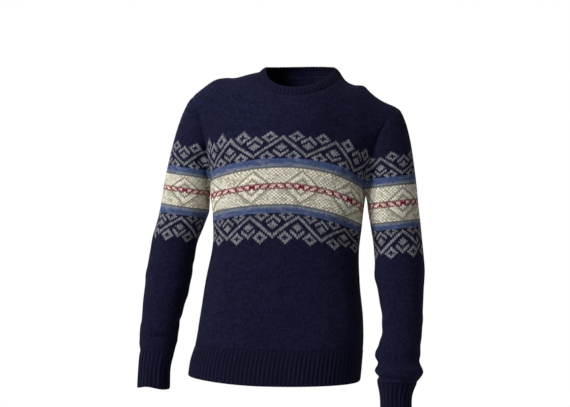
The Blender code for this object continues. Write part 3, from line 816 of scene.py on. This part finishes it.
# %% [markdown]
# ## From a flat slab of stitches to a worn piece
#
# A piece starts as a flat grid, which Blender's create_grid makes with even squares. Solidify gives
# it its back and its rim while it is still flat, so the wall is closed and its faces point out.
# Only then is each point laid on the form, the front layer on the outer points and the back layer
# on the inner ones. A tube loses the rims where its two long sides meet, and they are welded.

# %% Laying a piece on the form
SLAB = 0.5
WELD = 1e-7


def lay_piece(name, outer, inner, stitches, tube):
    """Make one closed wall from a flat slab and lay it on its outer and inner points."""
    if tube:
        outer, inner = (np.concatenate((points, points[:, :1]), axis=1) for points in (outer, inner))
        turn = stitches[:, :1] + (stitches[:, 1:2] - stitches[:, :1]) * stitches.shape[1]
        turn[..., 1] = stitches[:, :1, 1]
        stitches = np.concatenate((stitches, turn), axis=1)
    rows, count, _ = outer.shape
    shape = bmesh.new()
    bmesh.ops.create_grid(shape, x_segments=count - 1, y_segments=rows - 1, size=0.5)
    bmesh.ops.scale(shape, vec=(count - 1, rows - 1, 1), verts=shape.verts)
    bmesh.ops.translate(shape, vec=((count - 1) / 2, (rows - 1) / 2, 0), verts=shape.verts)
    bmesh.ops.solidify(shape, geom=shape.faces[:], thickness=SLAB)
    if tube:
        rims = []
        for face in shape.faces:
            reach = np.ptp([tuple(corner.co) for corner in face.verts], axis=0)
            if reach[0] < SLAB and reach[1] > SLAB:
                rims.append(face)
        bmesh.ops.delete(shape, geom=rims, context="FACES")
    heights = [corner.co.z for corner in shape.verts]
    middle = (min(heights) + max(heights)) / 2
    layer = shape.loops.layers.uv.new("stitches")
    places = {}
    for corner in shape.verts:
        places[corner] = (int(round(corner.co.y)), int(round(corner.co.x)), corner.co.z > middle)
    for face in shape.faces:
        for loop in face.loops:
            row, column, _ = places[loop.vert]
            loop[layer].uv = stitches[row, column]
    for corner, (row, column, front_side) in places.items():
        corner.co = (outer if front_side else inner)[row, column] * MM
    if tube:
        bmesh.ops.remove_doubles(shape, verts=shape.verts, dist=WELD)
    piece = add_shape(name, shape)
    piece.data.shade_smooth()
    return piece


# %% Relief of the stitches, ribs and seams
STITCH_RELIEF = 0.45
STITCH_SHARPNESS = 0.9
SEAM_SINK = 1.5
SEAM_WIDTH = 5.0
SOFT_SINK = 0.1
EDGE_SINK = 0.6
EDGE_WIDTH = 2.4
RIB_SHARPNESS = 0.8
RIB_RISE = 14.0
RIB_SETTLE = 0.55
RIB_SEAM_SINK = 0.12
# The left cuff is tucked under the slack of its sleeve, so its ribs start at once, a little deeper
TUCKED_RISE = {"cuff_left": 5.0}
TUCKED_SINK = {"cuff_left": 0.8}
NO_SEAM = 1e3


def ridge(phase, sharpness):
    """Round crest at whole numbers and a narrow furrow between them, from 0 to 1."""
    return abs(np.cos(math.pi * phase)) ** sharpness


def edge_distance(grid, tube, ends):
    """Distance of each point from the seams named in ends: low, high, sides."""
    up = lengths(grid)
    across = lengths(grid, axis=1)
    distance = np.full(grid.shape[:2], NO_SEAM)
    if "low" in ends:
        distance = np.minimum(distance, up)
    if "high" in ends:
        distance = np.minimum(distance, up[-1:] - up)
    if "sides" in ends and not tube:
        distance = np.minimum(distance, np.minimum(across, across[:, -1:] - across))
    return distance


def seam_sink(distance):
    """How far the outer face sinks towards a seam."""
    return SEAM_SINK * np.exp(-(distance / SEAM_WIDTH) ** 2)


# %% [markdown]
# ## The nine pieces
#
# All grids are made first, because their seams share normals. The folds are pressed in, the
# normals are taken again, and each piece gets its stitch or rib relief on the outside only.

# %% Make the pieces
grids = {}
stitch_numbers = {}
places = {}


def keep(name, grid, stitches, turn, up=1):
    """Keep a grid with its columns to the right and its rows up, seen from outside."""
    grids[name] = grid[::up, ::turn]
    stitch_numbers[name] = stitches[::up, ::turn]


def press(name, height):
    """Move the points of a grid along its normals."""
    grids[name] = grids[name] + normals[name] * height[..., None]


for panel, forward in FORWARD.items():
    grid, flats, share, stitches = panel_grid(panel)
    keep(panel + "_panel", grid, stitches, -forward)
    places[panel + "_panel"] = (panel, share[:, ::-forward], flats[:, ::-forward])
for panel, forward in FORWARD.items():
    keep("hem_rib_" + panel, *hem_grid(panel), -forward)
for side in ("right", "left"):
    keep("sleeve_" + side, *sleeve_grid(side), -LEFTWARD[side], -1)
    keep("cuff_" + side, *cuff_grid(side), -LEFTWARD[side], -1)
keep("neckband", *band_grid(), 1)

tubes = {"sleeve_right", "sleeve_left", "cuff_right", "cuff_left", "neckband"}
normals = share_normals(grids, tubes)
for name, (panel, share, flats) in places.items():
    press(name, body_creases(panel, share, flats))
for side in ("right", "left"):
    for name, creases in (("sleeve_" + side, arm_creases), ("cuff_" + side, cuff_creases)):
        press(name, creases(side, *grids[name].shape[:2])[::-1, ::-LEFTWARD[side]])
normals = share_normals(grids, tubes)
print("points", sum(grid.shape[0] * grid.shape[1] for grid in grids.values()))

# %% Walls and relief
# Edges of a piece that are drawn in at a seam, those of a soft seam, and the free edge of a rib
PANEL = {"drawn": ("sides",), "soft": ("low", "high"), "free": None}
HEM = {"drawn": ("high", "sides"), "soft": (), "free": "low"}
ARM = {"drawn": ("high",), "soft": ("low",), "free": None}
WRIST = {"drawn": ("high",), "soft": (), "free": "low"}
SEAMS = {
    "front_panel": PANEL, "back_panel": PANEL, "hem_rib_front": HEM, "hem_rib_back": HEM,
    "sleeve_right": ARM, "sleeve_left": ARM, "cuff_right": WRIST, "cuff_left": WRIST,
    "neckband": {"drawn": ("low",), "soft": (), "free": "high"},
}


def part_seams(grid, tube, ends):
    """Move the points on seams half a gap into their piece."""
    moved = grid.copy()
    for end, here, there in (("low", 0, 1), ("high", -1, -2)):
        if end in ends:
            moved[here] += unit(grid[there] - grid[here]) * SEAM_GAP / 2
    if "sides" in ends and not tube:
        for here, there in ((0, 1), (-1, -2)):
            moved[:, here] += unit(grid[:, there] - grid[:, here]) * SEAM_GAP / 2
    return moved


pieces = {}
for name, grid in grids.items():
    tube = name in tubes
    seams = SEAMS[name]
    seated = part_seams(grid, tube, seams["drawn"] + seams["soft"])
    distance = edge_distance(grid, tube, seams["drawn"])
    phase = stitch_numbers[name][..., 0]
    if seams["free"]:
        rise = ease(distance / TUCKED_RISE.get(name, RIB_RISE))
        relief = (RIB_HEIGHT * ridge(phase, RIB_SHARPNESS) - RIB_SETTLE) * rise
        relief -= TUCKED_SINK.get(name, RIB_SEAM_SINK) * (1 - rise)
        free = edge_distance(grid, tube, (seams["free"],))
        relief -= EDGE_SINK * np.exp(-(free / EDGE_WIDTH) ** 2)
    else:
        relief = STITCH_RELIEF * (ridge(phase, STITCH_SHARPNESS) - 0.5)
        soft = edge_distance(grid, tube, seams["soft"])
        relief -= seam_sink(distance) + SOFT_SINK * seam_sink(soft)
    outer = seated + normals[name] * relief[..., None]
    inner = seated - normals[name] * WALL
    pieces[name + "_knit"] = lay_piece(name + "_knit", outer, inner, stitch_numbers[name], tube)
for name, piece in pieces.items():
    print(name, "faces", len(piece.data.polygons))

# %% [markdown]
# ## Writing shader maths as plain expressions
#
# A pattern in knitting is a chart: is this stitch on that diagonal line or not? That is arithmetic
# on the stitch's number and its course. The small class below wraps a socket, so that ordinary
# sums and comparisons add the Math nodes, each by one line. All other nodes come from one method
# of the material.

# %% Sockets with arithmetic
def maths(operation, swapped=False):
    """Make a method that adds one Math node; swapped where the wire stands on the operator's right."""
    def method(self, *others):
        inputs = (*others, self) if swapped else (self, *others)
        return self.paint.node("ShaderNodeMath", {"operation": operation}, dict(enumerate(inputs)))
    return method


class Wire:
    """A number or colour on its way through a shader."""

    def __init__(self, paint, socket):
        self.paint = paint
        self.socket = socket

    __add__ = __radd__ = maths("ADD")
    __sub__ = maths("SUBTRACT")
    __rsub__ = maths("SUBTRACT", swapped=True)
    __mul__ = __rmul__ = __and__ = maths("MULTIPLY")
    __truediv__ = maths("DIVIDE")
    __mod__ = maths("FLOORED_MODULO")
    __pow__ = maths("POWER")
    __abs__ = maths("ABSOLUTE")
    __lt__ = maths("LESS_THAN")
    __gt__ = maths("GREATER_THAN")
    __or__ = maths("MAXIMUM")
    floor = maths("FLOOR")

    def between(self, low, high):
        return (self > low) & (self < high)


class Paint:
    """One material, built node by node."""

    def __init__(self, name):
        self.material = bpy.data.materials.new(name)
        self.material.use_nodes = True
        self.tree = self.material.node_tree
        self.shader = self.tree.nodes["Principled BSDF"]

    def put(self, socket, value):
        """Link a wire to a socket, or set its value."""
        if isinstance(value, Wire):
            self.tree.links.new(value.socket, socket)
        else:
            socket.default_value = value

    def node(self, kind, settings, sockets, output=0):
        """Add a node: its settings first, then its sockets; hand back one output."""
        added = self.tree.nodes.new(kind)
        for key, value in settings.items():
            setattr(added, key, value)
        for key, value in sockets.items():
            self.put(added.inputs[key], value)
        return Wire(self, added.outputs[output])

    def mix(self, factor, first, second):
        """Blend from one colour to another."""
        return self.node("ShaderNodeMix", {"data_type": "RGBA"}, {0: factor, 6: first, 7: second}, 2)

    def shade(self, colour, amount):
        """Make a colour lighter or darker by a factor."""
        return self.node("ShaderNodeVectorMath", {"operation": "SCALE"}, {0: colour, 3: amount})

    def finish(self, values):
        """Give the shader its inputs by name."""
        for key, value in values.items():
            self.put(self.shader.inputs[key], value)


print("paint ready")

# %% [markdown]
# ## One knitted stitch
#
# A plain stitch shows as a V: two legs of yarn that rise outwards from its foot. The line between
# two courses is therefore a zigzag, and a stitch's colour fills its own V. From the stitch and
# course numbers the shader finds which V a point is in, how high the yarn stands there, and where
# it dips between two legs. The yarn itself gets fine twisted fibres from a noise.

# %% Stitch numbers and yarn height
LEG_RISE = 0.8
LEG_FULLNESS = 0.7
LEG_ROUNDNESS = 0.4
LEG_DIP = 0.02
OUTER_DIP = 0.6
FIBRE_SCALE = 950.0
UNEVEN_SCALE = 26.0


def stitch_place(paint, across_scale=1.0):
    """Column, course and yarn height of the stitch at each point."""
    number = paint.node("ShaderNodeUVMap", {"uv_map": "stitches"}, {})
    across = paint.node("ShaderNodeSeparateXYZ", {}, {0: number}, 0) * across_scale
    up = paint.node("ShaderNodeSeparateXYZ", {}, {0: number}, 1)
    column = (across + 0.5).floor()
    aside = abs(across - column) * 2
    climb = up - aside * LEG_RISE + 0.5
    course = climb.floor()
    within = climb - course
    leg = (within * (1 - within) * 4) ** LEG_FULLNESS
    round_leg = (aside * (1 - aside) * 4 + LEG_DIP) ** LEG_ROUNDNESS
    height = leg * (round_leg * 0.5 + 0.5) * (1 - aside ** 6 * OUTER_DIP)
    return column, course, height


def fibres(paint):
    """Fine fuzz of the wool and its slow unevenness over the piece."""
    place = paint.node("ShaderNodeTexCoord", {}, {}, "Object")
    fine = {"Vector": place, "Scale": FIBRE_SCALE, "Detail": 3.0, "Roughness": 0.65}
    fuzz = paint.node("ShaderNodeTexNoise", {}, fine)
    slow = paint.node("ShaderNodeTexNoise", {}, {"Vector": place, "Scale": UNEVEN_SCALE, "Detail": 2.0})
    return fuzz, slow


def per_stitch(paint, column, course):
    """A steady random number for each stitch."""
    cell = paint.node("ShaderNodeCombineXYZ", {}, {0: column, 1: course})
    return paint.node("ShaderNodeTexWhiteNoise", {"noise_dimensions": "2D"}, {"Vector": cell})


# %% [markdown]
# ## The jacquard chart
#
# The band is 69 courses high and mirrored about its red rows. Out from the middle come a cream
# ground with a red chain, outlined lozenges and bird's-eye specks, a grey line, a blue stripe, and
# a navy ground with a zigzag, small diamonds and little roofs. It repeats every 24 stitches. The
# chain is two red strands that cross every fourth stitch, on four courses. It is an old kind of
# border, and each motif is a few comparisons on the stitch's place.

# %% Colours
NAVY = (0.0098, 0.0104, 0.0318)
GREY = (0.245, 0.245, 0.275, 1)
BLUE = (0.062, 0.090, 0.205)
STEEL = (0.240, 0.255, 0.285, 1)
SLATE = (0.095, 0.100, 0.095, 1)
CREAM = (0.860, 0.815, 0.685, 1)
OLIVE = (0.230, 0.220, 0.160, 1)
RED = (0.178, 0.014, 0.040, 1)
ROSE = (0.760, 0.560, 0.510)

REPEAT = 24
MIDDLE = 12


# %% Chart
def chart_colour(paint, column, course, tone):
    """Colour of each stitch of the body and sleeves."""
    pair = per_stitch(paint, (column / 3 + course * 0.37).floor(), course)
    across = abs((column + MIDDLE) % REPEAT - MIDDLE)
    side = MIDDLE - across
    out = abs(course + 0.5)
    rows = out - 25.5
    parity = (column + course) % 2

    zigzag = (rows + across).between(4.5, 6.5)
    upper = (abs(across - 6) + abs(rows - 6)).between(1.5, 3.5)
    roof = (rows + side).between(4.5, 6.5) & (side < 3.5)
    solid = (side + abs(rows)) < 2.5
    pip = (across + abs(rows + 1)) < 2.5
    cup = (rows - across).between(-7.5, -5.5) & (across < 3.5)
    lower = (abs(across - 6) + abs(rows + 7)).between(1.5, 3.5)
    light = (zigzag | upper | roof | solid | pip | cup | lower) & out.between(17, 35)

    lozenge = side + out - 0.5
    lines = lozenge.between(8.5, 9.5) | lozenge.between(3.5, 4.5)
    soft = lozenge.between(9.5, 10.5) | lozenge.between(4.5, 5.5)
    specks = (parity < 0.5) & (0.18 + (lozenge > 10.5) * (0.22 + pair * 0.52))
    flecks = (tone < 0.3) & (0.12 + pair * 0.3)
    marks = lines | (soft * 0.62) | specks | flecks

    link = side % 4
    joint = (side < 1.5) | (link < 0.5)
    crossing = (link.between(0.5, 1.5) & (course > -0.5)) | ((link > 2.5) & (course < -0.5))
    strands = (out > 1) & ((link > 0.5) | ((course > 0) * 0.7)) & (0.76 + tone * 0.24)
    red = ((out < 1) & (joint | crossing * 0.8)) | strands

    navy = paint.shade(NAVY, 0.75 + tone * 0.30 + pair * 0.18)
    colour = paint.mix(light * (0.60 + tone * 0.40), navy, GREY)
    blue = paint.mix((pair > 0.75) * 0.25, paint.shade(BLUE, 0.85 + pair * 0.3), GREY)
    colour = paint.mix(out < 17, colour, blue)
    colour = paint.mix((out < 14) & (tone * 0.5), colour, STEEL)
    colour = paint.mix((out < 13) & (0.3 + pair * 0.7), colour, STEEL)
    colour = paint.mix((out < 12) & (0.65 + tone * 0.35), colour, SLATE)
    colour = paint.mix(out < 11, colour, CREAM)
    colour = paint.mix(marks & (out < 11), colour, OLIVE)
    colour = paint.mix(out < 1, colour, paint.shade(ROSE, 0.8 + tone * 0.4))
    return paint.mix((out < 2) & red, colour, RED)


# %% [markdown]
# ## Two finishes: the jacquard knit and the rib
#
# Wool scatters light and has a soft sheen where fibres stand off the surface, so both finishes are
# rough with a little sheen. Each stitch varies in tone, painted shade darkens the dips between the
# legs, and a bump gives the yarn its roundness. The rib is the same yarn, with two stitches to each
# rib, and painted shade darkens its furrows.

# %% The wool
RIB_NAVY = (0.0100, 0.0106, 0.0320)
# Brightness where a value is 0, and how much it grows until the value is 1
# Painted shade: the yarn colour darkens where the stitch dips between its legs and courses
PAINTED_DIP_SHADE = (0.32, 0.80)
UNEVEN_SHADE = (0.95, 0.10)
FIBRE_SHADE = (0.86, 0.28)
STITCH_SHADE = (0.82, 0.36)
# Painted shade: the rib's furrow columns are darkened, its crests keep full brightness
RIB_FURROW_PAINTED_SHADE = (0.56, 0.44)
ROUGH = 0.97
CREST_SMOOTHER = 0.08
FIBRE_RELIEF = 0.35
BUMP = {"Distance": 0.0011, "Strength": 0.85}
SHEEN = {"Sheen Weight": 0.012, "Sheen Roughness": 0.4, "Specular IOR Level": 0.03}


def rib_colour(paint, column, course, tone):
    """Colour of the rib, with painted shade darkening every other column of stitches, in its furrow."""
    crest = 1 - abs(column % 2)
    return paint.shade(RIB_NAVY, RIB_FURROW_PAINTED_SHADE[0] + crest * RIB_FURROW_PAINTED_SHADE[1])


def wool(name, colour_of, across_scale=1.0):
    """Make a finish of wool from the colour of its stitches."""
    paint = Paint(name)
    column, course, height = stitch_place(paint, across_scale)
    tone = per_stitch(paint, column, course)
    fuzz, slow = fibres(paint)
    colour = colour_of(paint, column, course, tone)
    # depth is painted shade, darker where the yarn dips between legs and courses
    depth, uneven, grain, stitch_tone = [
        low + wire * more for wire, (low, more) in
        ((height, PAINTED_DIP_SHADE), (slow, UNEVEN_SHADE), (fuzz, FIBRE_SHADE), (tone, STITCH_SHADE))]
    paint.finish({
        "Base Color": paint.shade(colour, depth * uneven * grain * stitch_tone),
        "Roughness": ROUGH - height * CREST_SMOOTHER,
        "Normal": paint.node("ShaderNodeBump", {}, {"Height": height + fuzz * FIBRE_RELIEF, **BUMP}),
        **SHEEN,
    })
    print(name, "nodes", len(paint.tree.nodes))
    return paint.material


jacquard_wool = wool("jacquard_wool", chart_colour)
rib_wool = wool("rib_wool", rib_colour, 2.0)

# %% [markdown]
# ## Join the pieces to the model
#
# Each piece takes the place of its plain solid and gets its wool finish. The table lists the size
# each piece was cut to and whether it hangs draped or stretched, which nothing here reads. A sleeve
# is cut as one flat shape and sewn to a tube, so its size is given all round.

CUTS = {
    "front_panel": (0.442, 0.620, 0.250, "draped"),
    "back_panel": (0.442, 0.620, 0.254, "draped"),
    "sleeve_right": (0.430, 0.480, 0.139, "draped"),
    "sleeve_left": (0.430, 0.520, 0.148, "draped"),
    "neckband": (0.480, 0.030, 0.0130, "stretched"),
    "hem_rib_front": (0.470, 0.075, 0.034, "stretched"),
    "hem_rib_back": (0.470, 0.075, 0.034, "stretched"),
    "cuff_right": (0.225, 0.080, 0.0178, "stretched"),
    "cuff_left": (0.225, 0.079, 0.0176, "stretched"),
}
for name, (width, length, area, held) in CUTS.items():
    piece = pieces[name + "_knit"]
    ribbed = bool(SEAMS[name]["free"])
    piece.data.materials.append(rib_wool if ribbed else jacquard_wool)
    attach(piece, "root")
    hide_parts(name)

# %% [markdown]
# ## Floor and light
#
# The photograph is lit like a shop picture: a broad soft light high on the image's left and a weak
# one on the right. A small one above lights the shoulders, and two behind show the back. The room
# looks white but sheds little light. The floor lies below the frame, as pale as the rest.

# %% Floor
FLOOR_HEIGHT = -1.45
FLOOR_HALF = 3.6
FLOOR_WHITE = (0.86, 0.86, 0.86, 1)
FLOOR_ROUGH = 0.8

floor_shape = bmesh.new()
bmesh.ops.create_grid(floor_shape, x_segments=1, y_segments=1, size=FLOOR_HALF)
bmesh.ops.translate(floor_shape, vec=(0, 0, FLOOR_HEIGHT), verts=floor_shape.verts)
floor = add_shape("floor", floor_shape)
floor_paint = Paint("pale_floor")
floor_paint.finish({"Base Color": FLOOR_WHITE, "Roughness": FLOOR_ROUGH})
floor.data.materials.append(floor_paint.material)

# %% Lights
LIGHT_COLUMNS = ("name", "place", "size", "power")
LIGHTS = (
    ("key", (-1.75, -1.9, 1.7), 1.1, 145),
    ("fill", (2.6, -1.4, 0.1), 1.4, 3.2),
    ("crown", (-0.4, 0.8, 1.6), 1.4, 10),
    ("back", (-1.7, 2.1, 0.6), 1.4, 40),
    ("back_side", (1.9, 2.0, 0.5), 1.2, 22),
)
ROOM_LIGHT = 0.12
LIGHT_AIM = Vector((0, 0, -0.3))
for row in LIGHTS:
    light = dict(zip(LIGHT_COLUMNS, row))
    data = bpy.data.lights.new(light["name"], "AREA")
    data.energy = light["power"]
    data.size = light["size"]
    lamp = add(light["name"], data)
    lamp.location = light["place"]
    aim = LIGHT_AIM - lamp.location
    lamp.rotation_euler = aim.to_track_quat("-Z", "Y").to_euler()

world = bpy.data.worlds.new("studio")
world.use_nodes = True
room = world.node_tree.nodes["Background"]
room.inputs["Color"].default_value = (1, 1, 1, 1)
seen = world.node_tree.nodes.new("ShaderNodeLightPath")
strength = world.node_tree.nodes.new("ShaderNodeMapRange")
strength.inputs["To Min"].default_value = ROOM_LIGHT
strength.inputs["To Max"].default_value = 1.0
world.node_tree.links.new(seen.outputs["Is Camera Ray"], strength.inputs["Value"])
world.node_tree.links.new(strength.outputs["Result"], room.inputs["Strength"])
bpy.context.scene.world = world
bpy.context.scene.view_settings.view_transform = "Standard"
